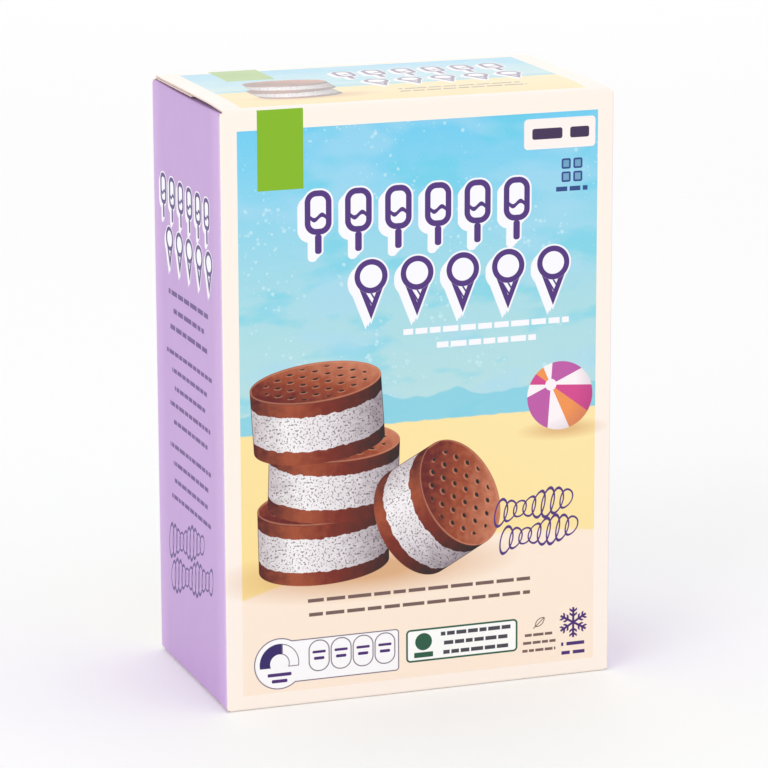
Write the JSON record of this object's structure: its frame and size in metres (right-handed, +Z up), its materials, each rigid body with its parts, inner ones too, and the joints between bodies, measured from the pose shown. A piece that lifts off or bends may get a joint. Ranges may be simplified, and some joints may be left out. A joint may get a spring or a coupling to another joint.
{
  "type": "ice cream sandwich carton",
  "caption": "Upright shut folding carton of printed board that holds wrapped ice cream sandwiches, with glued overlapping end flaps.",
  "frame": {"origin": "centre of the carton's footprint, on the surface it stands on", "axes": "+Z up the carton's height, +X across its width to the right of someone who faces the front panel, -Y out of the front panel"},
  "size_m": [0.105, 0.059, 0.155],
  "materials": {
    "printed_board": "printed white-lined boxboard with a satin varnish, raw cut edges"
  },
  "bodies": {
    "root": {"carton": "printed_board"}
  },
  "joints": []
}
